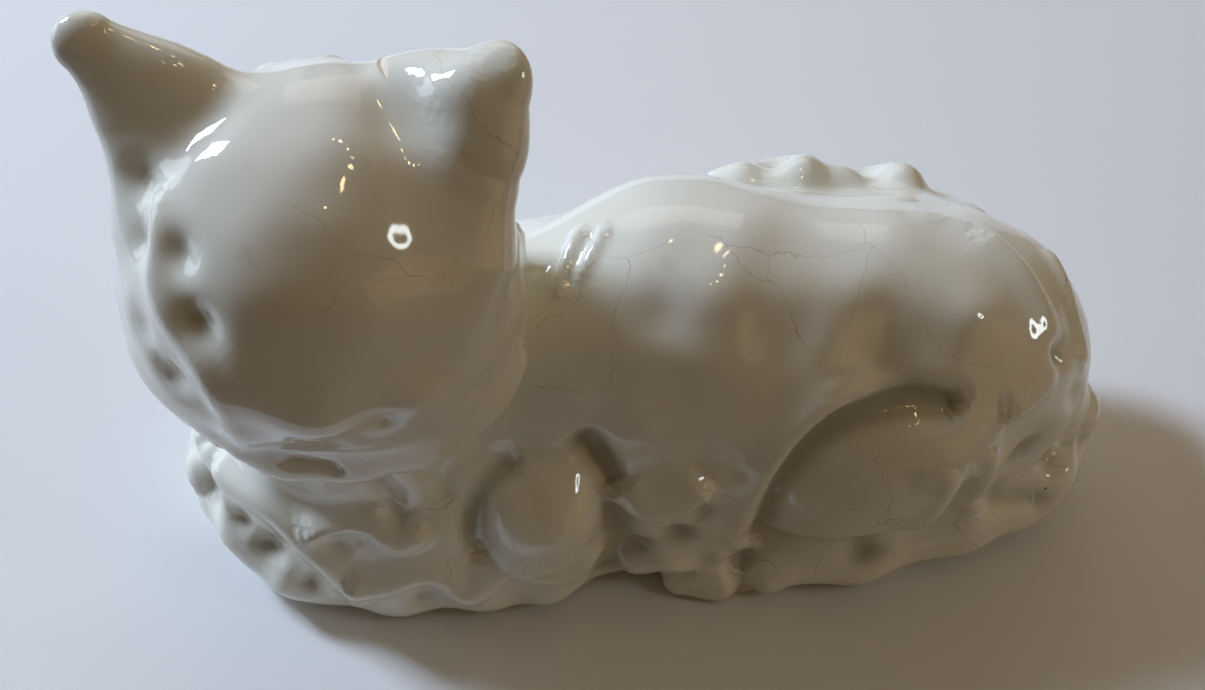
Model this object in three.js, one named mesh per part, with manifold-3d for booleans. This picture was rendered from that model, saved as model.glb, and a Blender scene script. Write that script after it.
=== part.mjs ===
// A ceramic cat that lies with its head turned to one side. It is slip-cast in pieces, which are
// luted together with slip before one firing and one glaze.
// Millimetres, +Z up. The cat lies along X, chest at -X and rump at +X, and it looks towards +Y,
// so its left side is the -Y side.

import * as THREE from 'three';
import { mergeVertices } from 'three/addons/utils/BufferGeometryUtils.js';
import Module from 'manifold-3d';

const wasm = await Module();
wasm.setup();

// ---------------------------------------------------------------- driving dimensions

const WALL = 4.5;            // fired wall of the two hollow castings
const SEAM = 0.3;            // slip line between pieces that are luted together
const POUR_HOLE = 30;        // diameter of the hole in the foot that the slip was poured through
const NECK_HOLE = 28;        // diameter of the passage from the torso into the head
const REACH = 200;           // longer than any way from a piece's core to its surface

const GLAZE = { color: 0xe7e6da, roughness: 0.12, metalness: 0 };

// Each mass of clay is an ellipsoid: [centre], [half-sizes], how softly it blends into the rest, and
// for some the degrees that its front end is tipped down.
const TORSO_MASSES = [
  [[22, 6, 43], [90, 42, 51], 1],           // barrel of the back and belly
  [[80, 6, 39], [44, 39, 42], 20],          // rump
  [[-73, 3, 21], [49, 42, 36], 22],         // chest
  [[-52, -11, 18], [40, 29, 30], 12],       // left shoulder
  [[-74, -4, 62], [34, 32, 30], 12],        // neck, which the head sits on
  [[5, -16, 25], [42, 24, 26], 10],         // left flank
  [[70, 30, 38], [44, 24, 34], 8],          // right thigh
  [[-30, 28, 38], [36, 22, 34], 12],        // right shoulder
  [[9, 10, 77], [27, 26, 19], 14],          // withers
  [[-29, -22, 34], [19, 23, 16], 10, 14],   // left elbow
  [[57, -20, 37], [39, 25, 24], 8, 27],     // left thigh
];
const TORSO_CORE = [[-74, -2, 36], [85, 6, 40]];

// A hem of fur is a rounded roll that blends into the clay behind it.
const CHEST_HEM = {
  path: [[-113, -5, 14], [-101, -20, 11], [-88, -29, 10], [-68, -34, 9], [-45, -35, 10],
    [-29, -36, 12], [-17, -30, 15], [0, -27, 15], [18, -28, 14]],
  radius: 9,
};
const HAUNCH_HEM = { path: [[33, -34, 9], [58, -34, 10], [84, -27, 12], [97, -22, 15]], radius: 10 };
const HEAD_HEM = {
  path: [[-108, -19, 79], [-97, -30, 77], [-86, -34, 76], [-72, -35, 76], [-58, -33, 78],
    [-46, -26, 82], [-38, -14, 90]],
  radius: 7.5,
};
const HEM_SOFTNESS = 9;

// The head has its own axes: the cat's right, the way it looks, and up.
const HEAD_AT = [-76, -11, 107];
const HEAD_LEFT = [-88, 10.5, 4];
const SKULL = [[0, 0, 2], [43, 43, 44], 1];
const CHEEK = [[20, 0, -15], [24, 30, 25], 14];
const MUZZLE = [[0, 38, -14], [18, 14, 13], 10];

// An ear is a flattened cone from its root in the skull to its tip, in the head's axes for the right
// ear and mirrored for the left. `face` lies in its flat plane, so it turns the opening outwards, and
// the middle bows some millimetres towards the crown.
const EARS = {
  ear_left: {
    side: -1, root: [20, 0, 22], tip: [41, 9, 51], radii: [21, 15.9, 7.5], bow: 1.7, face: [1, -0.4, -0.5],
  },
  ear_right: {
    side: 1, root: [27, 0, 23], tip: [42.5, 9, 50], radii: [27, 18, 7.5], bow: 0.8, face: [1, -1.1, -0.5],
  },
};
const EAR_FLATNESS = 1.75;
const EAR_SHIFT = -3.5;

// The tail starts low on the left, goes round the rump and lies up along the right thigh.
const TAIL_PATH = [
  [88, -27, 13], [107, -18, 17], [117, -4, 21], [118, 18, 29],
  [102, 37, 45], [76, 45, 57], [46, 45, 62], [28, 46, 63],
];
const TAIL_RADII = [11, 12, 12, 13, 12, 12, 12, 10];
const TAIL_ROUND = [22, 6, 40];            // the point that the tail curls round

// Each paw is a tapered roll, from the wrist or heel to the toes.
const PAWS = {
  front_paw_left: { path: [[-98, 20, 12], [-98, 34, 11], [-95, 48, 9]], radii: [12, 11, 10] },
  front_paw_right: { path: [[-24, 42, 15], [-48, 47, 12], [-70, 50, 9]], radii: [12, 11, 10] },
  hind_paw_left: { path: [[30, -34, 6], [18, -37, 5], [7, -38, 5]], radii: [8, 7, 6] },
  hind_paw_right: { path: [[68, 46, 11], [48, 50, 10], [26, 53, 9]], radii: [13, 11, 10] },
};

// How finely each surface is divided.
const TORSO_DETAIL = 11;
const TORSO_HOLLOW_DETAIL = 7;
const HEAD_DETAIL = 8;
const HEAD_HOLLOW_DETAIL = 5;

// ---------------------------------------------------------------- fields of clay

// Roughly the distance from a point to an ellipsoid, negative inside.
function ellipsoid(centre, halfSizes, tip = 0) {
  const cos = Math.cos(THREE.MathUtils.degToRad(tip));
  const sin = Math.sin(THREE.MathUtils.degToRad(tip));
  return (p) => {
    const x = p.x - centre[0];
    const z = p.z - centre[2];
    const q = [x * cos + z * sin, p.y - centre[1], z * cos - x * sin];
    const nearness = Math.hypot(...q.map((value, i) => value / halfSizes[i]));
    const steepness = Math.hypot(...q.map((value, i) => value / halfSizes[i] ** 2));
    return nearness * (nearness - 1) / Math.max(steepness, 1e-9);
  };
}

function softMinimum(a, b, width) {
  const overlap = Math.max(width - Math.abs(a - b), 0) / width;
  return Math.min(a, b) - overlap * overlap * width / 4;
}

function clay(masses) {
  const lumps = masses.map(([centre, size, softness, tip]) => [ellipsoid(centre, size, tip), softness]);
  return (p) => lumps.reduce((depth, [lump, softness]) => softMinimum(depth, lump(p), softness), REACH);
}

function withHem(field, { path, radius }) {
  const lines = path.slice(1).map((end, i) => (
    new THREE.Line3(new THREE.Vector3(...path[i]), new THREE.Vector3(...end))));
  const nearest = new THREE.Vector3();
  return (p) => {
    const gaps = lines.map((line) => line.closestPointToPoint(p, true, nearest).distanceTo(p));
    return softMinimum(field(p), Math.min(...gaps) - radius, HEM_SOFTNESS);
  };
}

// ---------------------------------------------------------------- surfaces

// The surface of a field, grown by some millimetres: a ball's points move out from a core line
// until they meet it.
function wrap(field, [coreStart, coreEnd], detail, growth) {
  const ball = mergedByPosition(new THREE.IcosahedronGeometry(1, detail));
  const points = ball.getAttribute('position');
  const start = new THREE.Vector3(...coreStart);
  const end = new THREE.Vector3(...coreEnd);
  for (let i = 0; i < points.count; i += 1) {
    const way = new THREE.Vector3().fromBufferAttribute(points, i).normalize();
    const from = start.clone().lerp(end, (1 + way.x) / 2);
    const found = surfaceAlong(field, from, way, growth);
    points.setXYZ(i, found.x, found.y, found.z);
  }
  return ball;
}

function surfaceAlong(field, from, way, growth) {
  let inside = 0;
  let outside = REACH;
  for (let step = 0; step < 32; step += 1) {
    const middle = (inside + outside) / 2;
    const depth = field(from.clone().addScaledVector(way, middle)) - growth;
    if (depth < 0) {
      inside = middle;
    } else {
      outside = middle;
    }
  }
  return from.clone().addScaledVector(way, inside);
}

// A round-ended roll along a curve, made by laying a ball's rings along it. `round` is a point
// that the roll curls round, which keeps its sections from twisting.
function roll({ path, radii }, round, sides, rings) {
  const curve = new THREE.CatmullRomCurve3(path.map((p) => new THREE.Vector3(...p)));
  const length = curve.getLength();
  const firstRadius = radii[0];
  const lastRadius = radii[radii.length - 1];
  const centre = new THREE.Vector3(...round);
  const ball = mergedByPosition(new THREE.SphereGeometry(1, sides, rings));
  const points = ball.getAttribute('position');
  for (let i = 0; i < points.count; i += 1) {
    const onBall = new THREE.Vector3().fromBufferAttribute(points, i);
    const angle = Math.acos(THREE.MathUtils.clamp(onBall.y, -1, 1));
    const share = (angle / Math.PI + (1 - Math.cos(angle)) / 2) / 2;
    const along = THREE.MathUtils.lerp(-firstRadius, length + lastRadius, share);
    const u = THREE.MathUtils.clamp(along / length, 0, 1);
    const past = along - u * length;
    const radius = Math.sqrt(Math.max(radiusAt(radii, u) ** 2 - past * past, 0));
    const tangent = curve.getTangentAt(u);
    const middle = curve.getPointAt(u).addScaledVector(tangent, past);
    const outward = curve.getPointAt(u).sub(centre);
    outward.addScaledVector(tangent, -outward.dot(tangent)).normalize();
    const across = new THREE.Vector3().crossVectors(tangent, outward);
    const ring = Math.max(Math.hypot(onBall.x, onBall.z), 1e-9);
    middle.addScaledVector(outward, radius * onBall.x / ring);
    middle.addScaledVector(across, radius * onBall.z / ring);
    points.setXYZ(i, middle.x, middle.y, middle.z);
  }
  return mergedByPosition(ball);
}

function radiusAt(radii, u) {
  const place = u * (radii.length - 1);
  const before = Math.min(Math.floor(place), radii.length - 2);
  return THREE.MathUtils.lerp(radii[before], radii[before + 1], place - before);
}

function mergedByPosition(geometry) {
  geometry.deleteAttribute('normal');
  geometry.deleteAttribute('uv');
  return mergeVertices(geometry, 1e-5);
}

// ---------------------------------------------------------------- solids

function solid(geometry) {
  return new wasm.Manifold(new wasm.Mesh({
    numProp: 3,
    vertProperties: Float32Array.from(geometry.getAttribute('position').array),
    triVerts: Uint32Array.from(geometry.index.array),
  }));
}

function block(low, high) {
  const size = high.map((value, i) => value - low[i]);
  const middle = high.map((value, i) => (value + low[i]) / 2);
  return solid(mergedByPosition(new THREE.BoxGeometry(...size).translate(...middle)));
}

function uprightCylinder(diameter, [x, y], lowZ, highZ) {
  const cylinder = new THREE.CylinderGeometry(diameter / 2, diameter / 2, highZ - lowZ, 28);
  cylinder.rotateX(Math.PI / 2);
  return solid(mergedByPosition(cylinder.translate(x, y, (lowZ + highZ) / 2)));
}

function below(z) {
  return block([-REACH, -REACH, -REACH], [REACH, REACH, z]);
}

const torsoField = withHem(withHem(clay(TORSO_MASSES), CHEST_HEM), HAUNCH_HEM);

function torsoSolid(growth, detail, floorZ) {
  return solid(wrap(torsoField, TORSO_CORE, detail, growth)).subtract(below(floorZ));
}

function headFrame() {
  const left = new THREE.Vector3(...HEAD_LEFT).normalize();
  const ahead = new THREE.Vector3().crossVectors(new THREE.Vector3(0, 0, 1), left).negate().normalize();
  const up = new THREE.Vector3().crossVectors(left, ahead).negate();
  return new THREE.Matrix4().makeBasis(left.negate(), ahead, up).setPosition(...HEAD_AT);
}

function headSolid(growth, detail) {
  const otherCheek = [[-CHEEK[0][0], CHEEK[0][1], CHEEK[0][2]], CHEEK[1], CHEEK[2]];
  const toHead = headFrame().invert();
  const path = HEAD_HEM.path.map((p) => new THREE.Vector3(...p).applyMatrix4(toHead).toArray());
  const field = withHem(clay([SKULL, CHEEK, otherCheek, MUZZLE]), { path, radius: HEAD_HEM.radius });
  const core = [[0, 0, -4], [0, 0, -4]];
  return solid(wrap(field, core, detail, growth).applyMatrix4(headFrame()));
}

function earSolid({ side, root, tip, radii, bow, face }) {
  const start = new THREE.Vector3(...root);
  const along = new THREE.Vector3(...tip).sub(start);
  const length = along.length();
  along.normalize();
  const across = new THREE.Vector3(...face);
  across.addScaledVector(along, -across.dot(along)).normalize();
  const thin = new THREE.Vector3().crossVectors(along, across);
  const path = [[0, 0, 0], [length / 2, -bow, 0], [length, 0, 0]];
  const geometry = roll({ path, radii }, [0, REACH, 0], 20, 16);
  geometry.scale(1, 1, 1 / EAR_FLATNESS);
  geometry.applyMatrix4(new THREE.Matrix4().makeBasis(along, across, thin).setPosition(start));
  if (side < 0) {
    mirrorAcrossYZ(geometry);
  }
  return solid(geometry.applyMatrix4(headFrame()).translate(EAR_SHIFT, 0, 0));
}

// A mirrored surface is inside out until its triangles are turned round.
function mirrorAcrossYZ(geometry) {
  geometry.scale(-1, 1, 1);
  geometry.index.array.reverse();
}

// ---------------------------------------------------------------- pieces

const torsoWithSeam = torsoSolid(SEAM, TORSO_DETAIL, -SEAM);

function bodyShell() {
  const hollow = torsoSolid(-WALL, TORSO_HOLLOW_DETAIL, WALL);
  const pourHole = uprightCylinder(POUR_HOLE, [22, 6], -WALL, 3 * WALL);
  const neckHole = uprightCylinder(NECK_HOLE, [-74, -4], 70, 100);
  return torsoSolid(0, TORSO_DETAIL, 0).subtract(hollow).subtract(pourHole).subtract(neckHole);
}

function headShell() {
  return headSolid(0, HEAD_DETAIL).subtract(headSolid(-WALL, HEAD_HOLLOW_DETAIL)).subtract(torsoWithSeam);
}

function ear(shape) {
  return earSolid(shape).subtract(headSolid(SEAM, HEAD_DETAIL));
}

function tail() {
  const whole = solid(roll({ path: TAIL_PATH, radii: TAIL_RADII }, TAIL_ROUND, 14, 40));
  return whole.subtract(torsoWithSeam).subtract(below(0));
}

function paw(limb) {
  const showing = solid(roll(limb, [0, 0, -REACH], 14, 12)).subtract(torsoWithSeam).subtract(below(0));
  return showing.decompose().reduce((a, b) => (a.volume() > b.volume() ? a : b));
}

function piece(name, shape) {
  const { vertProperties, triVerts } = shape.getMesh();
  const geometry = new THREE.BufferGeometry();
  geometry.setAttribute('position', new THREE.BufferAttribute(vertProperties, 3));
  geometry.setIndex(new THREE.BufferAttribute(triVerts, 1));
  geometry.computeVertexNormals();
  const mesh = new THREE.Mesh(geometry, new THREE.MeshStandardMaterial(GLAZE));
  mesh.name = name;
  return mesh;
}

const cat = new THREE.Group();
cat.add(piece('body_shell', bodyShell()));
cat.add(piece('head_shell', headShell()));
for (const [name, shape] of Object.entries(EARS)) {
  cat.add(piece(name, ear(shape)));
}
cat.add(piece('tail', tail()));
for (const [name, limb] of Object.entries(PAWS)) {
  cat.add(piece(name, paw(limb)));
}

// The origin is the middle of the object's box, on the surface it stands on.
const box = new THREE.Box3().setFromObject(cat);
const middle = box.getCenter(new THREE.Vector3());
cat.position.set(-middle.x, -middle.y, -box.min.z);

export default cat;
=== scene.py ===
import math

import bmesh
import bpy
import numpy as np
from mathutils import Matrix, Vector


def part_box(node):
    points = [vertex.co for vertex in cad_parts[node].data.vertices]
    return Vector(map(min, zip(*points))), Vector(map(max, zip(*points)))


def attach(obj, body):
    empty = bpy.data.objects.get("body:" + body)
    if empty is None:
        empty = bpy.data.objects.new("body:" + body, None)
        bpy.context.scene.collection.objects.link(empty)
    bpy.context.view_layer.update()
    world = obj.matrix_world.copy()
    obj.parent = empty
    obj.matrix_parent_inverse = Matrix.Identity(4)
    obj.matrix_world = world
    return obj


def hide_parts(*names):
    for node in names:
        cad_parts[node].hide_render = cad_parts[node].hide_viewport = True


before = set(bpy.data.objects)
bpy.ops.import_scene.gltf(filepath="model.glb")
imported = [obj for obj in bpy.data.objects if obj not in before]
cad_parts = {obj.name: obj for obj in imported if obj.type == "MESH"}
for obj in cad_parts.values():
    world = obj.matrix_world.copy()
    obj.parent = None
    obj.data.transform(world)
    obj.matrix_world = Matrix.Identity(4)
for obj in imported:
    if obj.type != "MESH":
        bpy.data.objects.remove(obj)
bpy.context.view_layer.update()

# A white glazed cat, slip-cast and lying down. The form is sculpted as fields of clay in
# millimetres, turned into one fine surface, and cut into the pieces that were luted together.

import openvdb
from mathutils import Matrix, Vector
from mathutils.kdtree import KDTree

MM = 0.001
VOXEL = 1.0      # spacing of the sculpt's grid, mm
CUTTER_VOXEL = 1.6                 # spacing of the grids that the pieces are cut with, mm
HOLLOW_VOXEL = 2.2                 # spacing of the grids of the two hollows, mm
WALL = 4.5                         # fired wall of the hollow castings, mm
DEPTH = 1.3                        # how deeply every mark is pressed
SEED = 7

# ------------------------------------------------------------------ places, from the frame

# Places on the sculpt are in millimetres from a point under the torso, which the frame fixes.
TORSO_LOW = np.array(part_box("body_shell")[0]) / MM
ORIGIN = TORSO_LOW + (123.37, 44.92, 0.0)
SCULPT_LOW = (-140, -60, -6)
SCULPT_HIGH = (145, 70, 172)

HEAD = np.array((-76.0, -11.0, 107.0))
LEFT = np.array((-88.0, 10.5, 4.0))
LEFT /= np.linalg.norm(LEFT)
AHEAD = np.cross(LEFT, (0, 0, 1))
AHEAD /= np.linalg.norm(AHEAD)
UP = np.cross(AHEAD, LEFT)
AHEAD, UP = (v if v @ w > 0 else -v for v, w in ((AHEAD, (0, 1, 0)), (UP, (0, 0, 1))))
HEAD_AXES = np.stack([LEFT, AHEAD, UP], 1).astype(np.float32)

# ------------------------------------------------------------------ fields of clay


def ellipsoid(p, centre, sizes, axes=None):
    q = p - np.float32(centre)
    if axes is not None:
        q = q @ np.float32(axes)
    sizes = np.float32(sizes)
    near = np.sqrt(((q / sizes) ** 2).sum(-1)) + 1e-6
    steep = np.sqrt(((q / sizes ** 2) ** 2).sum(-1)) + 1e-9
    return near * (near - 1) / steep


def capsule(p, a, b, radius_a, radius_b):
    a, b = np.float32(a), np.float32(b)
    along = b - a
    t = np.clip((p - a) @ along / (along @ along), 0, 1)
    radius = radius_a + (radius_b - radius_a) * t
    return np.sqrt(((p - a - t[..., None] * along) ** 2).sum(-1)) - radius


def roll(p, points, radii, softness=6):
    parts = zip(points[:-1], points[1:], radii[:-1], radii[1:])
    d = None
    for a, b, radius_a, radius_b in parts:
        part = capsule(p, a, b, radius_a, radius_b)
        d = part if d is None else join(d, part, softness)
    return d


def join(a, b, softness):
    overlap = np.maximum(softness - np.abs(a - b), 0) / softness
    return np.minimum(a, b) - overlap * overlap * softness / 4


def carve(a, b, softness):
    return -join(-a, b, softness)


def tilted(long_axis, up_axis):
    """Columns are the long axis, the one across it nearest to up_axis, and the third."""
    u = np.array(long_axis, float)
    u /= np.linalg.norm(u)
    v = np.array(up_axis, float)
    v -= (v @ u) * u
    v /= np.linalg.norm(v)
    return np.stack([u, v, np.cross(u, v)], 1)


CHEST_HEM = [(-113, -5, 14), (-101, -20, 11), (-88, -29, 10), (-68, -34, 9), (-45, -35, 10),
             (-29, -36, 12), (-17, -30, 15), (0, -27, 15), (18, -28, 14)]
CHEST_HEM_RADII = [9] * len(CHEST_HEM)
HAUNCH_HEM = [(33, -34, 9), (58, -34, 10), (84, -27, 12), (97, -22, 15)]
HAUNCH_HEM_RADII = [9, 10, 11, 12]


def torso(p):
    d = ellipsoid(p, (22, 6, 43), (90, 42, 51))
    d = join(d, ellipsoid(p, (80, 6, 39), (44, 39, 42)), 20)
    d = join(d, ellipsoid(p, (-73, 3, 21), (49, 42, 36)), 22)
    d = join(d, ellipsoid(p, (-52, -11, 18), (40, 29, 30)), 12)
    d = join(d, ellipsoid(p, (-74, -4, 62), (34, 32, 30)), 12)
    d = join(d, ellipsoid(p, (5, -16, 25), (42, 24, 26)), 10)
    d = join(d, ellipsoid(p, (70, 30, 38), (44, 24, 34)), 8)
    d = join(d, ellipsoid(p, (-30, 28, 38), (36, 22, 34)), 12)
    d = join(d, ellipsoid(p, (9, 10, 77), (27, 26, 19)), 14)
    # the hem of fur round the foot of the chest, and the low haunch
    d = join(d, roll(p, CHEST_HEM, CHEST_HEM_RADII), 9)
    d = join(d, roll(p, HAUNCH_HEM, HAUNCH_HEM_RADII), 9)
    # the left elbow, and the left thigh in the fold of the flank
    d = join(d, ellipsoid(p, (-29, -23, 34), (19, 17, 24), tilted((1, 0, .25), (0, 0, 1))), 5)
    d = join(d, ellipsoid(p, (57, -20, 37), (39, 24, 25), tilted((1, 0, .5), (0, 0, 1))), 5)
    return d


def in_head(p):
    return (p - np.float32(HEAD)) @ HEAD_AXES


HEAD_HEM = [(-108, -19, 79), (-97, -30, 77), (-86, -34, 76), (-72, -35, 76), (-58, -33, 78),
            (-46, -26, 82), (-38, -14, 90)]
HEAD_HEM_RADII = [6, 8, 8, 8, 8, 7, 6]


def head(p):
    q = in_head(p)
    d = ellipsoid(q, (0, 0, 2), (43, 43, 44))
    for side in (-1, 1):
        d = join(d, ellipsoid(q, (side * 20, 0, -15), (24, 30, 25)), 14)
    d = join(d, ellipsoid(q, (0, 38, -14), (18, 14, 13)), 10)
    return join(d, roll(p, HEAD_HEM, HEAD_HEM_RADII), 8)


# The left ear is side 1 and the right ear side -1. Their inner edges bow towards the crown.
EARS = {1: ((20, 0, 22), (41, 9, 51)), -1: ((27, 0, 23), (42.5, 9, 50))}
EAR_RADII = {1: (19, 13.4, 7), -1: (26, 16.8, 7.5)}
EAR_ACROSS = {1: (1, -.4, -.5), -1: (1, -1.1, -.5)}
EAR_BOW = {1: 3.9, -1: 1.6}
EAR_FLATNESS = 1.75                # how many times thinner than wide an ear is
EAR_STEEPNESS = 1.3                # brings the flattened field back near to true millimetres
EAR_SHIFT = (-3.5, 0, 0)           # from the head's own centre line


def ear(p, side):
    q = in_head(p - np.float32(EAR_SHIFT)) * np.float32((side, 1, 1))
    root, tip = (np.array(v, float) for v in EARS[side])
    length = np.linalg.norm(tip - root)
    q = (q - np.float32(root)) @ np.float32(tilted(tip - root, EAR_ACROSS[side]))
    q = q * np.float32((1, 1, EAR_FLATNESS))
    path = [(0, 0, 0), (length / 2, -EAR_BOW[side], 0), (length, 0, 0)]
    return roll(q, path, EAR_RADII[side]) / EAR_STEEPNESS


TAIL_PATH = [(88, -27, 13), (107, -18, 17), (117, -4, 21), (118, 18, 29),
             (102, 37, 45), (76, 45, 57), (46, 45, 62), (28, 46, 63)]
TAIL_RADII = [11, 12, 12, 13, 12, 12, 12, 10]


def tail(p):
    return roll(p, TAIL_PATH, TAIL_RADII)


PAWS = {
    "front_paw_left": ([(-98, 20, 12), (-98, 34, 11), (-95, 48, 9)], [12, 11, 10]),
    "front_paw_right": ([(-24, 42, 15), (-48, 47, 12), (-70, 50, 9)], [12, 11, 10]),
    "hind_paw_left": ([(30, -34, 6), (18, -37, 5), (8, -38, 4)], [8, 7, 4.5]),
    "hind_paw_right": ([(68, 46, 11), (48, 50, 10), (26, 53, 9)], [13, 11, 10]),
}


def whole(p):
    d = join(torso(p), tail(p), 4)
    for points, radii in PAWS.values():
        d = join(d, roll(p, points, radii), 4)
    ears = np.minimum(ear(p, 1), ear(p, -1))
    d = join(d, join(head(p), ears, 9), 5)
    return carve(d, p[..., 2], 3)


# ------------------------------------------------------------------ field to surface


def surface(field, low, high, voxel):
    """Vertices in mm and quads of a field's zero surface, facing out."""
    low, high = np.array(low, float), np.array(high, float)
    counts = np.ceil((high - low) / voxel).astype(int) + 1
    coarse_step = 4
    coarse_axes = [low[i] + voxel * np.arange(0, counts[i] + coarse_step, coarse_step)
                   for i in range(3)]
    coarse_points = np.stack(np.meshgrid(*coarse_axes, indexing="ij"), -1).astype(np.float32)
    coarse = field(coarse_points)
    band = coarse_step * voxel * 1.5
    fine = np.repeat(np.repeat(np.repeat(coarse, coarse_step, 0), coarse_step, 1), coarse_step, 2)
    fine = fine[:counts[0], :counts[1], :counts[2]]
    near = np.abs(fine) < band * 1.6
    index = np.argwhere(near)
    fine[near] = field((low + voxel * index).astype(np.float32))
    grid = openvdb.FloatGrid(background=float(band))
    grid.copyFromArray(np.ascontiguousarray(fine, dtype=np.float32))
    points, _, quads = grid.convertToPolygons(isovalue=0.0)
    return points * voxel + low, quads


def gradient(field, p, step=0.4):
    g = np.empty_like(p)
    for i in range(3):
        offset = np.zeros(3, np.float32)
        offset[i] = step
        g[:, i] = field(p + offset) - field(p - offset)
    return g / (2 * step)


def settle(field, p, rounds=2):
    """Moves points onto the zero surface."""
    for _ in range(rounds):
        g = gradient(field, p)
        p = p - field(p)[:, None] * g / np.maximum((g * g).sum(-1), 0.05)[:, None]
    return p


def vertex_normals(p, quads):
    a, b = p[quads[:, 2]] - p[quads[:, 0]], p[quads[:, 3]] - p[quads[:, 1]]
    face = np.cross(a, b)
    total = np.zeros_like(p)
    for corner in range(4):
        np.add.at(total, quads[:, corner], face)
    return total / np.maximum(np.linalg.norm(total, axis=1), 1e-12)[:, None]


def mesh_from(name, p, faces):
    mesh = bpy.data.meshes.new(name)
    mesh.from_pydata([], [], [])
    mesh.vertices.add(len(p))
    mesh.vertices.foreach_set("co", ((p + ORIGIN) * MM).astype(np.float32).ravel())
    count, sides = faces.shape
    mesh.loops.add(count * sides)
    mesh.loops.foreach_set("vertex_index", faces.astype(np.int32).ravel())
    mesh.polygons.add(count)
    mesh.polygons.foreach_set("loop_start", np.arange(count, dtype=np.int32) * sides)
    mesh.update(calc_edges=True)
    mesh.polygons.foreach_set("use_smooth", np.ones(count, bool))
    mesh.validate()
    return mesh


# ------------------------------------------------------------------ relief on the skin


def curve(points, spacing=1.5):
    """A smooth curve through the points, as close samples."""
    p = np.array(points, float)
    p = np.vstack([2 * p[0] - p[1], p, 2 * p[-1] - p[-2]])
    samples = []
    for i in range(1, len(p) - 2):
        a, b, c, d = p[i - 1:i + 3]
        count = max(2, int(np.linalg.norm(c - b) / spacing))
        t = np.arange(count)[:, None] / count
        bend = (2 * a - 5 * b + 4 * c - d) * t ** 2 + (3 * b - a - 3 * c + d) * t ** 3
        samples.append(.5 * (2 * b + (c - a) * t + bend))
    samples.append(p[-2:-1])
    return np.vstack(samples)


def eased(samples):
    """Samples along a path without their small zigzags."""
    samples = samples.copy()
    for _ in range(12):
        samples[1:-1] = (samples[:-2] + 2 * samples[1:-1] + samples[2:]) / 4
    return samples


def smoothstep(x):
    x = np.clip(x, 0, 1)
    return x * x * (3 - 2 * x)


class Skin:
    """The clay's surface. Tool marks are gathered, then pressed in along the normals."""

    def __init__(self, points, quads):
        self.points, self.quads = points.astype(float), quads
        self.relief = np.zeros(len(points))
        self.rest()

    def rest(self):
        self.normals = vertex_normals(self.points, self.quads)
        self.height = np.zeros(len(self.points))
        self.tree = KDTree(len(self.points))
        for i, place in enumerate(self.points):
            self.tree.insert(place, i)
        self.tree.balance()

    def press(self):
        self.points += self.normals * self.height[:, None]
        self.relief += self.height
        self.rest()

    def nearest(self, places):
        return np.array([self.tree.find(place)[1] for place in places])

    def snapped(self, places):
        return self.points[self.nearest(places)]

    def same_side(self, at, facing):
        """1 where the skin faces the same way as the tool, 0 where it faces back at it."""
        return smoothstep(1 + 2 * (self.normals[at] * facing).sum(1))

    def near(self, places, reach):
        low, high = places.min(0) - reach, places.max(0) + reach
        return np.nonzero(((self.points > low) & (self.points < high)).all(1))[0]

    def bump(self, place, radius, height, along=None, stretch=1.0):
        found = self.nearest([place])
        place = self.points[found]
        at = self.near(place, radius * max(stretch, 1) * 2.4)
        offset = self.points[at] - place
        if along is not None:
            axis = np.array(along, float)
            axis /= np.linalg.norm(axis)
            offset += np.outer(offset @ axis, axis) * (1 / stretch - 1)
        reached = self.same_side(at, self.normals[found]) * np.exp(-(offset ** 2).sum(1) / radius ** 2)
        self.height[at] += DEPTH * height * reached

    def lumps(self, marks):
        for place, radius, height in marks:
            self.bump(place, radius, height)

    def dimples(self, marks):
        for place, radius, depth in marks:
            self.bump(place, radius, -depth)

    def stroke(self, points, height, left, right, fade=7):
        """Raises the skin along a curve, falling away over `left` and `right` mm beside it."""
        path = curve(self.snapped(curve(points, 5))) if len(points) > 2 else curve(points)
        found = self.nearest(path)
        path = eased(self.points[found])
        facing = eased(self.normals[found])
        steps = np.linalg.norm(np.diff(path, axis=0), axis=1)
        run = np.concatenate([[0], np.cumsum(steps)])
        tangent = np.gradient(path, axis=0)
        tangent /= np.maximum(np.linalg.norm(tangent, axis=1), 1e-9)[:, None]
        ends = smoothstep(np.minimum(run, run[-1] - run) / fade + .15)
        at = self.near(path, max(left, right) * 2.4)
        p, n = self.points[at], self.normals[at]
        gap = ((p[:, None] - path) ** 2).sum(2)
        first = gap.argmin(1)
        away = np.sqrt(gap[np.arange(len(at)), first])
        side = ((p - path[first]) * np.cross(n, tangent[first])).sum(1)
        width = right + (left - right) * smoothstep(side / 3 + .5)
        reached = self.same_side(at, facing[first]) * np.exp(-(away / width) ** 2)
        self.height[at] += DEPTH * height * ends[first] * reached

    def ridge(self, points, width, height, fade=7):
        self.stroke(points, height, width, width, fade)

    def lip(self, points, height, reach=7, drop=2.2, fade=7):
        """A hem of fur: thick on the left of the curve, falling sharply on its right."""
        self.stroke(points, height, reach, drop, fade)

    def ripple(self, height, short, long, where=None):
        """Soft unevenness of hand-finished clay, with waves from short to long mm."""
        count = 40
        ways = rng.normal(size=(count, 3))
        ways /= np.linalg.norm(ways, axis=1)[:, None]
        ways *= (2 * np.pi / rng.uniform(short, long, count))[:, None]
        wave = np.sin(self.points @ ways.T + rng.uniform(0, 2 * np.pi, count)).sum(1)
        weight = 1 if where is None else where
        self.height += height * wave / math.sqrt(count / 2) * weight


def on_head(left, ahead, up):
    return HEAD + HEAD_AXES @ np.array((left, ahead, up), float)


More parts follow.
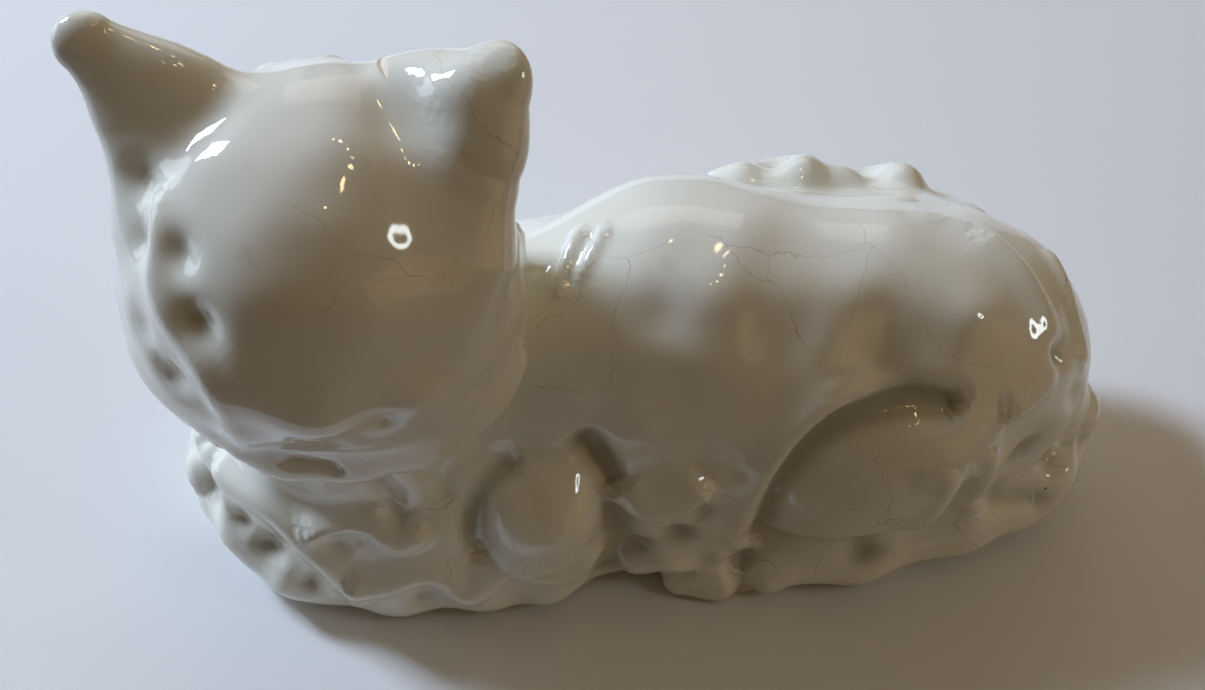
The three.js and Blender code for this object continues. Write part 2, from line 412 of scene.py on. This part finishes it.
def press_head_back(skin):
    """The back of the head and its left cheek."""
    skin.ridge([(-104, -19, 142), (-104, -26, 139), (-106, -32, 132), (-106, -38, 125),
                (-100, -45, 121), (-97, -48, 114), (-95, -50, 106), (-94, -48, 96), (-95, -43, 84),
                (-98, -37, 76)], 4.4, 1.3)
    skin.dimples((
        ((-108, -16, 140), 5, 1.6), ((-109, -26, 132), 4.4, 1.5), ((-99, -34, 136), 4.8, 1.7),
        ((-97, -43, 125), 5.6, 2.1), ((-107, -41, 106), 5, 1.8), ((-112, -34, 114), 5, 1.2),
        ((-101, -37, 74), 6, 2.6), ((-63, -51, 100), 3.4, 1.4)))
    skin.lumps((
        ((-77, -54, 104), 9, 2.0), ((-55, -49, 103), 7.5, 1.6), ((-89, -51, 110), 8, 1.2),
        ((-66, 0, 153), 14, 2.2), ((-52, 2, 149), 8, 1.6), ((-45, -42, 117), 7, .8),
        ((-38, -36, 116), 7, .8), ((-64, -52, 113), 8, -.8), ((-42, -39, 104), 8, 1.0)))
    skin.lip([(-104, -31, 76), (-97, -39, 72), (-87, -43, 69), (-73, -44, 68), (-66, -43, 72),
              (-58, -42, 73), (-51, -39, 75), (-45, -35, 79), (-40, -29, 84),
              (-36, -20, 89)], 2.2, 7, 2.4)
    skin.ridge([(-88, -44, 79), (-80, -45, 77), (-73, -45, 75)], 2.0, -1.4, 4)
    skin.ridge([(-33, -14, 122), (-31, -20, 112), (-32, -24, 98)], 3, 1.2)
    skin.ridge([(-36, -7, 162), (-41, -16, 151), (-47, -25, 143)], 6, 1.0, 14)
    skin.ridge([(-34, -7, 162), (-39, -9, 160), (-43, -10, 157), (-47, -11, 155),
                (-51, -12, 151)], 6, 1.3, 9)


def press_bib(skin):
    """The bib: two scalloped tiers below the head, and the fold that ends them."""
    skin.lip([(-90, -34, 32), (-83, -35, 35), (-78, -35, 38), (-73, -36, 38), (-69, -38, 33),
              (-65, -39, 31), (-61, -38, 34), (-56, -38, 36)], 2.6, 6, 2.2)
    skin.lip([(-82, -40, 20), (-73, -43, 17), (-67, -43, 20), (-59, -42, 23), (-54, -43, 18),
              (-49, -45, 12), (-43, -43, 19), (-35, -42, 22), (-28, -44, 18), (-21, -42, 19),
              (-13, -40, 25)], 2.6, 6, 2.6)
    skin.bump((-61, -44, 12), 4, -1.6)
    skin.bump((-35, -45, 11), 5, -.8)
    skin.ridge([(-114, -13, 37), (-105, -22, 38), (-96, -30, 37), (-90, -35, 31), (-84, -39, 24),
                (-80, -42, 16), (-76, -43, 9)], 4.5, 2.8)
    skin.dimples((
        ((-118, -13, 26), 6, 3), ((-108, -25, 26), 4.5, 2.5), ((-101, -31, 22), 5, 2.8),
        ((-91, -38, 15), 4, 2), ((-112, -20, 10), 4, 1.5), ((-83, -40, 33), 4, 1.2)))
    for place in ((-110, -21, 17), (-97, -34, 10), (-119, -10, 38)):
        skin.bump(place, 6, 1.8)
    skin.ridge([(-70, -33, 60), (-67, -34, 47), (-65, -37, 37)], 3.2, -1.3)
    skin.ridge([(-56, -29, 60), (-54, -31, 49), (-51, -34, 41)], 3.2, -1.0)
    skin.ridge([(-62, -33, 58), (-60, -34, 47), (-58, -37, 38)], 4, .9)


def press_elbow(skin):
    """The left elbow, and the valley behind it."""
    skin.ridge([(-33, -29, 53), (-43, -31, 45), (-47, -37, 34), (-44, -41, 24)], 4, -2.0)
    skin.ridge([(-20, -26, 60), (-13, -33, 50), (-9, -37, 38), (-10, -39, 26), (-12, -39, 14),
                (-12, -37, 4)], 4.5, -3.2)
    skin.ridge([(-33, -33, 50), (-30, -40, 38), (-31, -43, 26)], 5, -.5)


def press_belly(skin):
    """The flank's hem over the belly."""
    skin.lip([(-13, -32, 43), (-9, -34, 39), (-4, -38, 38), (2, -39, 38), (9, -39, 43),
              (15, -37, 48)], 3.2, 7, 2.2, 4)
    skin.dimples((
        ((-3, -38, 22), 4.4, 3), ((6, -39, 27), 5, 3), ((12, -38, 36), 3.6, 1.8)))
    skin.ridge([(-9, -40, 12), (-3, -42, 14), (3, -41, 20), (8, -41, 14), (14, -41, 13),
                (20, -40, 21)], 3, 1.8, 4)


def press_thigh(skin):
    """The fold of fur round the left thigh, the thigh's valley, and the foot."""
    skin.lip([(22, -39, 14), (25, -38, 31), (27, -36, 46), (32, -33, 59), (39, -31, 66),
              (48, -29, 70), (56, -28, 70)], 3.4, 6, 2.6, 26)
    skin.ridge([(26, -39, 20), (30, -37, 40), (36, -34, 54), (44, -32, 61), (54, -30, 64),
                (66, -29, 66), (78, -29, 62)], 4.4, -3.2)
    skin.ridge([(24, -41, 18), (24, -41, 10), (25, -40, 2)], 3.2, -2.6, 3)
    skin.bump((31, -43, 9), 8, 2)
    skin.ridge([(28, -41, 23), (39, -42, 22), (50, -44, 23), (60, -42, 25)], 3.2, -1.6)
    skin.bump((57, -42, 17), 4.4, -2.6, (1, 0, .3), 1.5)
    skin.bump((29, -41, 17), 5, -2.4, (1, 0, .6), 1.4)
    skin.bump((45, -44, 9), 7, .8)
    skin.ridge([(74, -36, 50), (71, -39, 38), (66, -41, 26)], 3.2, 1.4)
    skin.ridge([(79, -36, 46), (77, -38, 34), (75, -38, 22)], 3.0, -1.6)
    skin.ridge([(85, -34, 52), (85, -36, 36), (87, -36, 20)], 3.6, 1.8)


def press_rump(skin):
    """The rump."""
    for place, radius, depth, along in (
            ((98, -29, 41), 5.4, 2.4, (1, 0, 1)), ((110, -23, 30), 4.4, 2.4, (0, 0, 1)),
            ((105, -18, 68), 3.6, 2.8, (0, -.3, 1)),
            ((112, -18, 50), 4, 1.4, (0, 0, 1)), ((100, -30, 22), 4.5, 1.4, (1, 0, 0)),
            ((93, -33, 27), 3.6, 1.2, (0, 0, 1)), ((115, -17, 30), 4, 1.6, (0, 0, 1))):
        skin.bump(place, radius, -depth, along, 1.5)
    skin.lip([(87, -31, 60), (97, -27, 59), (102, -22, 63), (103, -14, 71), (100, -7, 78),
              (94, 3, 84), (86, 12, 88)], 1.6, 6, 2.4)
    skin.ridge([(106, 14, 75), (111, 2, 71), (113, -9, 64), (114, -14, 55)], 3, 1.4)
    skin.bump((80, -15, 81), 9, 1.4)
    skin.ridge([(69, 16, 88), (79, 14, 88), (88, 8, 85)], 4, .8)


def press_back(skin):
    """Creases where the neck meets the back, and slow lumps along the back."""
    skin.ridge([(-8, 10, 95), (-13, 3, 92), (-17, -4, 87)], 2.2, 1.2, 5)
    skin.ridge([(-14, 12, 92), (-19, 3, 89), (-22, -6, 84)], 2.2, 1.2, 5)
    skin.ridge([(-11, 10, 94), (-16, 3, 90), (-20, -5, 86)], 2, -1.0, 5)
    skin.lumps((
        ((16, -12, 93), 10, .65), ((36, -13, 90), 9, .6), ((52, -10, 88), 8, .55),
        ((30, -24, 80), 10, -.5), ((-4, -31, 62), 8, .9), ((-14, -28, 66), 6, -.75),
        ((4, -27, 73), 6, -.65), ((13, -31, 66), 7, .7), ((10, -35, 55), 5, -.6),
        ((22, -31, 62), 7, .6), ((-16, -31, 52), 6, -.8), ((-20, -22, 72), 6, .6),
        ((11, -23, 80), 8, .6), ((-6, -22, 79), 8, .6), ((69, -10, 86), 9, .6),
        ((35, -26, 74), 7, .5), ((-20, -12, 82), 7, .5), ((44, -22, 82), 6, .45),
        ((2, -16, 88), 6, -.4), ((25, -18, 88), 5, -.35)))
    skin.bump((60, -22, 79), 13, -1.6)
    skin.bump((60, -2, 88), 14, 1.2)


def tier(skin, centre, radii, height, turn, scallops, depth, thickness):
    """A scalloped hem round an upright oval, over the degrees of `turn` seen from above."""
    places = []
    for i in range(scallops * 4 + 1):
        angle = math.radians(turn[0] + (turn[1] - turn[0]) * i / (scallops * 4))
        drop = depth * abs(math.cos(i * math.pi / 4)) + rng.uniform(-.6, .6)
        places.append((centre[0] + radii[0] * math.cos(angle), centre[1] + radii[1] * math.sin(angle),
                       height - drop))
    skin.lip(places, thickness, 6, 2.4)
    for i in range(scallops):
        skin.bump(np.array(places[i * 4 + 2]) - (0, 0, 6), 3.8, -1.3)


def press_far_side(skin):
    """The front of the chest and the far side, which carry the same scalloped fur."""
    tier(skin, (-73, 3), (52, 45), 60, (95, 205), 5, 6, 2.2)
    tier(skin, (-73, 3), (54, 46), 43, (88, 196), 6, 6, 2.4)
    tier(skin, (-73, 3), (54, 46), 25, (84, 200), 7, 6, 2.4)
    tier(skin, (-20, 10), (60, 44), 60, (60, 120), 3, 6, 1.8)
    tier(skin, (0, 8), (60, 46), 42, (58, 96), 3, 6, 2.0)
    tier(skin, (0, 8), (60, 46), 26, (58, 96), 3, 6, 2.0)
    skin.lip([(42, 50, 52), (33, 48, 42), (28, 46, 26), (29, 46, 10)], 2.4, 7, 2.6)
    skin.ridge([(47, 52, 46), (39, 51, 38), (34, 49, 26), (34, 49, 14)], 4, -2)
    skin.lip([(-6, 48, 56), (-12, 50, 42), (-13, 49, 26), (-10, 47, 10)], 2.0, 7, 2.6)
    skin.ridge([(-62, 40, 48), (-58, 44, 36), (-60, 46, 24)], 4, -1.8)
    for place in ((62, 53, 40), (78, 52, 36), (92, 46, 32), (70, 54, 24), (86, 50, 20), (50, 52, 30)):
        skin.bump(place, 6, 1.6)
        skin.bump(np.array(place) + (6, 0, -7), 3.6, -1.6)


def press_tail(skin):
    """The tail: lumps of fur along it, and long combed lines."""
    line = curve(TAIL_PATH, 9)
    for i, place in enumerate(line[1:-1]):
        outward = place - (60, 6, 30)
        outward = outward / np.linalg.norm(outward)
        lift = 10 if i % 2 else -4
        skin.bump(place + outward * 11 + (0, 0, lift), 6.5, 1.5)
        skin.bump(place + outward * 12 + (0, 0, 4 - lift), 4, -1.6)
    for rise in (-6, 1, 8):
        combed = [np.array(v) + (0, 0, rise) + (np.array(v) - (60, 6, v[2])) * .12
                  for v in TAIL_PATH[1:]]
        skin.ridge(combed, 2.2, -.7)
    for place in ((33, 47, 75), (48, 48, 75), (62, 48, 73), (77, 46, 69)):
        skin.bump(place, 7, 1.8)
    for place in ((40, 48, 74), (55, 49, 73), (70, 48, 70)):
        skin.bump(place, 4, -.8)


def press_face(skin):
    """The head's far side: sockets, muzzle, ruff and ear hollows."""
    for side in (-1, 1):
        skin.bump(on_head(side * 17, 37, 6), 8.5, -2.2)
        skin.bump(on_head(side * 8, 50, -15), 6.5, 2.0)
        skin.bump(on_head(side * 26, 32, -14), 9, 1.6)
        skin.ridge([on_head(side * 8, 42, 14), on_head(side * 17, 38, 17),
                    on_head(side * 27, 31, 14)], 4, 1.4)
        places = [on_head(side * 38, 16, 2), on_head(side * 42, 14, -12),
                  on_head(side * 38, 16, -24)]
        skin.lip(places[::side], 2.0, 6, 2.4)
        places = [on_head(side * 32, 26, -4), on_head(side * 36, 24, -15),
                  on_head(side * 30, 26, -26), on_head(side * 20, 32, -32)]
        skin.lip(places[::side], 2.0, 6, 2.4)
        root, tip = (np.array(v, float) for v in EARS[side])
        front = np.array((.25, .95, 0))
        hollow = [root + front * 13 + (tip - root) * t for t in (.05, .4, .7)]
        hollow = [on_head(side * v[0], v[1], v[2]) + EAR_SHIFT for v in hollow]
        skin.ridge(hollow, 8.5, -4.5, 9)
    skin.bump(on_head(0, 52, -8), 4.5, 2.0)
    skin.ridge([on_head(0, 42, 12), on_head(0, 47, 3), on_head(0, 51, -5)], 5, 1.2)
    skin.bump(on_head(0, 47, -26), 6, 2.2)
    for left, lean in ((-9, -4), (0, 0), (9, 4)):
        skin.ridge([on_head(left, 38, 22), on_head(left + lean, 33, 30),
                    on_head(left + lean * 2, 27, 36)], 3.6, 1.3)


def press_features(skin):
    """Eyes, lids, nose and mouth, on top of the larger forms."""
    for side in (-1, 1):
        eye = on_head(side * 17, 36, 6)
        skin.bump(eye, 5.6, 2.4, HEAD_AXES @ (1, 0, side * .25), 1.25)
        skin.ridge([on_head(side * 8.5, 42, 4), on_head(side * 13, 41, 11),
                    on_head(side * 20, 38, 12), on_head(side * 27, 33, 8)], 1.7, 1.3, 4)
        skin.ridge([on_head(side * 9, 42, 3), on_head(side * 14, 40, -1), on_head(side * 21, 37, 0),
                    on_head(side * 27, 33, 7)], 1.5, .9, 4)
        skin.bump(on_head(side * 3, 54, -10), 1.6, -.9)
        skin.ridge([on_head(0, 53, -19), on_head(side * 6, 52, -22), on_head(side * 12, 47, -21),
                    on_head(side * 16, 43, -18)], 1.5, -1.3, 4)
        skin.ridge([on_head(side * 25, 14, 28), on_head(side * 29, 14, 36),
                    on_head(side * 31, 13, 42)], 2.6, 1.6)
    skin.bump(on_head(0, 54, -8), 3, 1.2, HEAD_AXES @ (1, 0, 0), 1.5)
    skin.ridge([on_head(0, 54, -12), on_head(0, 54, -15), on_head(0, 53, -19)], 1.4, -1.2, 3)


rng = np.random.default_rng(SEED)
points, quads = surface(whole, SCULPT_LOW, SCULPT_HIGH, VOXEL)
skin = Skin(settle(whole, points.astype(np.float32)), quads)
for press in (press_head_back, press_bib, press_elbow, press_belly, press_thigh, press_rump,
              press_back, press_far_side, press_tail, press_face):
    press(skin)
skin.ripple(.22, 14, 34)
skin.press()
press_features(skin)
skin.press()

# ------------------------------------------------------------------ the pieces that were luted together


def corner_attribute(mesh, name, values):
    corners = np.empty(len(mesh.loops), np.int32)
    mesh.loops.foreach_get("vertex_index", corners)
    layer = mesh.attributes.new(name, "FLOAT_VECTOR", "CORNER")
    layer.data.foreach_set("vector", values[corners].astype(np.float32).ravel())


scratch = []


def added(name, mesh):
    thing = bpy.data.objects.new(name, mesh)
    bpy.context.scene.collection.objects.link(thing)
    scratch.append(thing)
    return thing


def solid_from(name, points, faces):
    return added(name, mesh_from(name, points, faces))


def cutter(field, low, high, voxel=CUTTER_VOXEL):
    points, quads = surface(field, low, high, voxel)
    return solid_from("cutter", settle(field, points.astype(np.float32), 1), quads)


def cut(thing, tool, operation, name):
    step = thing.modifiers.new("cut", "BOOLEAN")
    step.solver = "MANIFOLD"
    step.operation = operation
    step.object = tool
    seen = thing.evaluated_get(bpy.context.evaluated_depsgraph_get())
    mesh = bpy.data.meshes.new_from_object(seen)
    thing.modifiers.remove(step)
    return added(name, mesh)


def outside(field, p, margin):
    return margin - field(p)


def ear_region(side):
    return lambda p: np.maximum(ear(p, side) - 4, outside(head, p, .5))


def head_region(p):
    return np.maximum(head(p) - 5, outside(torso, p, 1))


def limb_region(limb, growth):
    return lambda p: np.maximum(limb(p) - growth, outside(torso, p, .5))


def paw(name):
    path, radii = PAWS[name]
    return lambda p: roll(p, path, radii)


def upright_hole(p, place, radius, low, high):
    across = np.sqrt((p[..., 0] - place[0]) ** 2 + (p[..., 1] - place[1]) ** 2) - radius
    return np.maximum(across, np.maximum(low - p[..., 2], p[..., 2] - high))


def torso_hollow(p):
    hollow = carve(torso(p) + WALL + 1.5, WALL - p[..., 2], 4)
    hollow = np.minimum(hollow, upright_hole(p, (22, 6), 15, -8, 14))
    return np.minimum(hollow, upright_hole(p, (-74, -4), 14, 60, 100))


def head_hollow(p):
    return np.maximum(head(p) + WALL + 1.5, outside(torso, p, 1))


REGIONS = {
    "ear_left": (ear_region(1), (-140, -50, 105), (-70, 45, 175)),
    "ear_right": (ear_region(-1), (-75, -50, 105), (-10, 45, 175)),
    "head_shell": (head_region, (-140, -70, 55), (-15, 60, 170)),
    "tail": (limb_region(tail, 5), (10, -60, -10), (145, 75, 90)),
    **{name: (limb_region(paw(name), 4), (-130, -60, -10), (100, 80, 45)) for name in PAWS},
}


def luted_pieces(skin):
    """The sculpted clay cut into its pieces, with the two castings hollowed."""
    rest = solid_from("clay", skin.points, skin.quads)
    corner_attribute(rest.data, "glaze_normal", skin.normals)
    relief = rest.data.attributes.new("relief", "FLOAT", "POINT")
    relief.data.foreach_set("value", skin.relief.astype(np.float32))
    pieces = {}
    for name, (region, low, high) in REGIONS.items():
        tool = cutter(region, low, high)
        pieces[name] = cut(rest, tool, "INTERSECT", name)
        rest = cut(rest, tool, "DIFFERENCE", "clay_rest")
    tool = cutter(torso_hollow, (-140, -60, -12), (135, 60, 110), HOLLOW_VOXEL)
    pieces["body_shell"] = cut(rest, tool, "DIFFERENCE", "body_shell")
    tool = cutter(head_hollow, (-125, -60, 60), (-25, 50, 160), HOLLOW_VOXEL)
    pieces["head_shell"] = cut(pieces["head_shell"], tool, "DIFFERENCE", "head_shell")
    for thing in scratch:
        if thing not in pieces.values():
            bpy.data.objects.remove(thing)
    return pieces


def largest_part(mesh):
    """Drops crumbs that the cuts left."""
    count = len(mesh.vertices)
    edges = np.empty(len(mesh.edges) * 2, np.int32)
    mesh.edges.foreach_get("vertices", edges)
    a, b = edges.reshape(-1, 2).T
    label = np.arange(count)
    while True:
        before = label.copy()
        low = np.minimum(label[a], label[b])
        np.minimum.at(label, a, low)
        np.minimum.at(label, b, low)
        label = label[label]
        if (label == before).all():
            break
    sizes = np.bincount(label)
    crumbs = np.nonzero(label != sizes.argmax())[0]
    if len(crumbs):
        work = bmesh.new()
        work.from_mesh(mesh)
        work.verts.ensure_lookup_table()
        bmesh.ops.delete(work, geom=[work.verts[i] for i in crumbs], context="VERTS")
        work.to_mesh(mesh)
        work.free()


def finish_normals(mesh):
    """The glaze runs smoothly over the seams, and the cut clay inside is flat."""
    layer = mesh.attributes["glaze_normal"]
    wanted = np.empty(len(mesh.loops) * 3, np.float32)
    layer.data.foreach_get("vector", wanted)
    wanted = wanted.reshape(-1, 3)
    length = np.linalg.norm(wanted, axis=1)
    glazed = length > .5
    starts = np.empty(len(mesh.polygons), np.int32)
    totals = np.empty(len(mesh.polygons), np.int32)
    facing = np.empty(len(mesh.polygons) * 3, np.float32)
    mesh.polygons.foreach_get("loop_start", starts)
    mesh.polygons.foreach_get("loop_total", totals)
    mesh.polygons.foreach_get("normal", facing)
    facing = facing.reshape(-1, 3)
    order = np.argsort(starts)
    per_corner = np.repeat(facing[order], totals[order], axis=0)
    normals = np.where(glazed[:, None], wanted / np.maximum(length, .1)[:, None], per_corner)
    bare = ~np.logical_and.reduceat(glazed, starts[order])
    middle = np.empty(len(mesh.polygons) * 3, np.float32)
    mesh.polygons.foreach_get("center", middle)
    on_foot = (middle.reshape(-1, 3)[order, 2] < .0008) & (facing[order, 2] < -.8)
    material = np.zeros(len(order), np.int32)
    material[order] = bare | on_foot
    mesh.polygons.foreach_set("material_index", material)
    mesh.attributes.remove(layer)
    mesh.normals_split_custom_set(normals)


# ------------------------------------------------------------------ glaze


class Nodes:
    """Short names for building a material."""

    def __init__(self, name):
        self.material = bpy.data.materials.new(name)
        self.material.use_nodes = True
        self.tree = self.material.node_tree
        self.shader = self.tree.nodes["Principled BSDF"]

    def add(self, kind, links=None, **settings):
        node = self.tree.nodes.new("ShaderNode" + kind)
        for key, value in settings.items():
            setattr(node, key, value)
        for key, value in (links or {}).items():
            self.set(node.inputs[key], value)
        return node

    def set(self, socket, value):
        if isinstance(value, bpy.types.NodeSocket):
            self.tree.links.new(value, socket)
        else:
            socket.default_value = value

    def math(self, operation, a, b=0.0):
        return self.add("Math", {0: a, 1: b}, operation=operation).outputs[0]

    def band(self, value, low, high, start=0.0, end=1.0):
        links = {"Value": value, "From Min": low, "From Max": high, "To Min": start, "To Max": end}
        return self.add("MapRange", links, interpolation_type="SMOOTHSTEP").outputs[0]

    def noise(self, place, scale, detail=2.0):
        node = self.add("TexNoise", {"Vector": place, "Scale": scale, "Detail": detail})
        return node.outputs["Fac"]

    def mix(self, amount, a, b):
        node = self.add("Mix", data_type="RGBA")
        self.set(node.inputs[0], amount)
        self.set(node.inputs[6], a)
        self.set(node.inputs[7], b)
        return node.outputs[2]


WHITE = (.80, .795, .70, 1)
# painted shade: a darker glaze colour laid into the valleys of the relief
PAINTED_VALLEY_SHADE = (.48, .46, .36, 1)
CRAZE = (.26, .20, .12, 1)
SOIL = (.36, .32, .25, 1)
PIT = (.05, .045, .04, 1)
BISCUIT = (.78, .70, .58, 1)
BISCUIT_DARK = (.70, .62, .50, 1)


def glaze_look():
    """Glossy white glaze: crazed, darkened in the valleys with painted shade, a little soiled, with a
    few pits.
    """
    n = Nodes("glaze")
    place = n.add("TexCoord").outputs["Object"]
    wander = n.add("TexNoise", {"Vector": place, "Scale": 42.0, "Detail": 5.0}).outputs["Color"]
    wandering = n.add("VectorMath", {0: wander, 3: .016}, operation="SCALE")
    crooked = n.add("VectorMath", {0: place, 1: wandering.outputs[0]}, operation="ADD").outputs[0]
    cells = n.add("TexVoronoi", {"Vector": crooked, "Scale": 27.0}, feature="DISTANCE_TO_EDGE")
    line = n.band(cells.outputs["Distance"], .0004, .0034, 1.0, 0.0)
    patchy = n.band(n.noise(place, 26.0), .44, .56)
    craze = n.math("MULTIPLY", n.math("MULTIPLY", line, patchy), .42)
    pits = n.add("TexVoronoi", {"Vector": place, "Scale": 85.0}, feature="F1")
    few = n.add("SeparateColor", {0: pits.outputs["Color"]}).outputs[0]
    small = n.band(pits.outputs["Distance"], .025, .05, 1.0, 0.0)
    pit = n.math("MULTIPLY", small, n.band(few, .93, .94))
    relief = n.add("Attribute", attribute_name="relief").outputs["Fac"]
    # painted shade: the deeper the relief sinks into a valley, the darker the glaze is painted
    valley = n.band(relief, -3.4, -.4, .9, 0.0)
    soil = n.band(n.noise(place, 55.0, 6.0), .60, .80, 0.0, .35)
    colour = n.mix(valley, WHITE, PAINTED_VALLEY_SHADE)
    colour = n.mix(soil, colour, SOIL)
    colour = n.mix(craze, colour, CRAZE)
    colour = n.mix(pit, colour, PIT)
    n.set(n.shader.inputs["Base Color"], colour)
    n.set(n.shader.inputs["Roughness"], n.band(n.noise(place, 30.0), .3, .7, .035, .07))
    n.set(n.shader.inputs["IOR"], 1.66)
    peel = n.add("Bump", {"Height": n.noise(place, 90.0, 1.0), "Strength": .12, "Distance": .0006})
    n.set(n.shader.inputs["Normal"], peel.outputs[0])
    return n.material


def biscuit_look():
    """Dry unglazed clay, on the foot and inside."""
    n = Nodes("biscuit")
    place = n.add("TexCoord").outputs["Object"]
    grain = n.band(n.noise(place, 400.0, 4.0), .3, .7)
    n.set(n.shader.inputs["Base Color"], n.mix(grain, BISCUIT, BISCUIT_DARK))
    n.set(n.shader.inputs["Roughness"], .85)
    return n.material


glaze = glaze_look()
biscuit = biscuit_look()
for name, piece in luted_pieces(skin).items():
    piece.name = name
    piece.data.name = name
    piece.data.materials.clear()
    piece.data.materials.append(glaze)
    piece.data.materials.append(biscuit)
    largest_part(piece.data)
    finish_normals(piece.data)
    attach(piece, "root")
    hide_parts(name)

# ------------------------------------------------------------------ the room

bpy.context.scene.view_settings.view_transform = "Standard"


def ground(name, size, place, colour):
    """A flat surface to stand things on, which is no part of the cat."""
    bpy.ops.mesh.primitive_plane_add(size=1, location=place)
    sheet = bpy.context.object
    sheet.name = name
    sheet.scale = (*size, 1)
    look = bpy.data.materials.new(name)
    look.use_nodes = True
    shader = look.node_tree.nodes["Principled BSDF"]
    shader.inputs["Base Color"].default_value = (*colour, 1)
    shader.inputs["Roughness"].default_value = .9
    sheet.data.materials.append(look)


def room(near, far):
    """A dim warm room, of colour `near` on the side the camera stands and `far` opposite."""
    world = bpy.data.worlds.new("room")
    bpy.context.scene.world = world
    world.use_nodes = True
    tree = world.node_tree
    where = tree.nodes.new("ShaderNodeTexCoord")
    apart = tree.nodes.new("ShaderNodeSeparateXYZ")
    ramp = tree.nodes.new("ShaderNodeValToRGB")
    shift = tree.nodes.new("ShaderNodeMath")
    shift.operation = "MULTIPLY_ADD"
    shift.inputs[1].default_value = .5
    shift.inputs[2].default_value = .5
    tree.links.new(where.outputs["Generated"], apart.inputs[0])
    tree.links.new(apart.outputs["Y"], shift.inputs[0])
    tree.links.new(shift.outputs[0], ramp.inputs[0])
    tree.links.new(ramp.outputs[0], tree.nodes["Background"].inputs["Color"])
    for stop, position, colour in zip(ramp.color_ramp.elements, (.15, .9), (near, far)):
        stop.position = position
        stop.color = (*colour, 1)


def softbox(name, way, distance, size, radiance, colour):
    """An area light seen from the object along `way`, as bright as `radiance` per unit colour."""
    light = bpy.data.lights.new(name, "AREA")
    light.shape = "RECTANGLE"
    light.size, light.size_y = size
    light.energy = radiance * math.pi * size[0] * size[1]
    light.color = colour
    lamp = bpy.data.objects.new(name, light)
    way = Vector(way).normalized()
    lamp.location = way * distance + Vector((0, 0, .07))
    lamp.rotation_euler = way.to_track_quat("Z", "Y").to_euler()
    bpy.context.scene.collection.objects.link(lamp)


def glowing(name, colour, strength):
    material = bpy.data.materials.new(name)
    material.use_nodes = True
    shader = material.node_tree.nodes["Principled BSDF"]
    shader.inputs["Base Color"].default_value = (0, 0, 0, 1)
    shader.inputs["Emission Color"].default_value = (*colour, 1)
    shader.inputs["Emission Strength"].default_value = strength
    return material


def staged(thing, name, material):
    thing.name = name
    thing.data.materials.append(material)


# A sheet of white paper, which ends close in front of the cat, on a brown table.
ground("paper", (1.6, 1.33), (.1, .53, 0), (.78, .78, .78))
ground("table", (8, 8), (0, 0, -.0004), (.16, .11, .07))
room((.050, .035, .020), (.18, .112, .050))

softbox("window", (-.72, .52, .60), 2.3, (.44, .60), 70, (.64, .78, 1.0))
softbox("curtain", (-.84, .36, .16), 2.3, (1.5, 1.0), 1.9, (.76, .90, 1.0))
softbox("far wall", (.05, .74, .66), 2.6, (2.0, 1.2), .78, (1, .93, .80))
softbox("warm wall", (.80, -.55, .25), 2.6, (2.4, 1.4), .42, (1, .62, .26))

# A ring lamp to the right, and a row of small warm lamps overhead.
RING_DISTANCE = 1.5
ring_way = Vector((.72, -.31, .62)).normalized()
bpy.ops.mesh.primitive_torus_add(major_radius=.085, minor_radius=.03,
                                 location=ring_way * RING_DISTANCE,
                                 rotation=ring_way.to_track_quat("Z", "Y").to_euler())
staged(bpy.context.object, "ring_lamp", glowing("ring light", (.92, 1, 1), 12))

LAMP_COUNT = 7
LAMP_ARC = .42                     # radius of the row they hang in, metres
LAMP_HEIGHT = 1.5
warm = glowing("warm light", (1, .74, .40), 16)
for i in range(LAMP_COUNT):
    turn = math.radians(-70 + 26 * i)
    hung = (.05 + LAMP_ARC * math.cos(turn), LAMP_ARC * math.sin(turn), LAMP_HEIGHT)
    bpy.ops.mesh.primitive_uv_sphere_add(segments=16, ring_count=8, radius=.022 + .01 * (i % 3),
                                         location=hung)
    staged(bpy.context.object, f"warm_lamp_{i}", warm)

# ------------------------------------------------------------------ the camera

FOCAL_WIDTHS = 1400 / 1205         # focal length in widths of the picture
SENSOR_WIDTH = 36
CAMERA_PLACE = (-35, -236, 338)    # mm on the sculpt
YAW, PITCH, ROLL = (math.radians(a) for a in (5.9, 49.5, 1.3))

data = bpy.data.cameras.new("camera")
camera = bpy.data.objects.new("camera", data)
bpy.context.scene.collection.objects.link(camera)
bpy.context.scene.camera = camera
data.sensor_width = SENSOR_WIDTH
data.lens = FOCAL_WIDTHS * SENSOR_WIDTH
sight = Vector((math.sin(YAW) * math.cos(PITCH), math.cos(YAW) * math.cos(PITCH), -math.sin(PITCH)))
across = Vector((math.cos(YAW), -math.sin(YAW), 0))
above = across.cross(sight)
right = across * math.cos(ROLL) + above * math.sin(ROLL)
top = above * math.cos(ROLL) - across * math.sin(ROLL)
turned = Matrix((right, top, -sight)).transposed().to_4x4()
camera.matrix_world = Matrix.Translation((Vector(CAMERA_PLACE) + Vector(ORIGIN)) * MM) @ turned
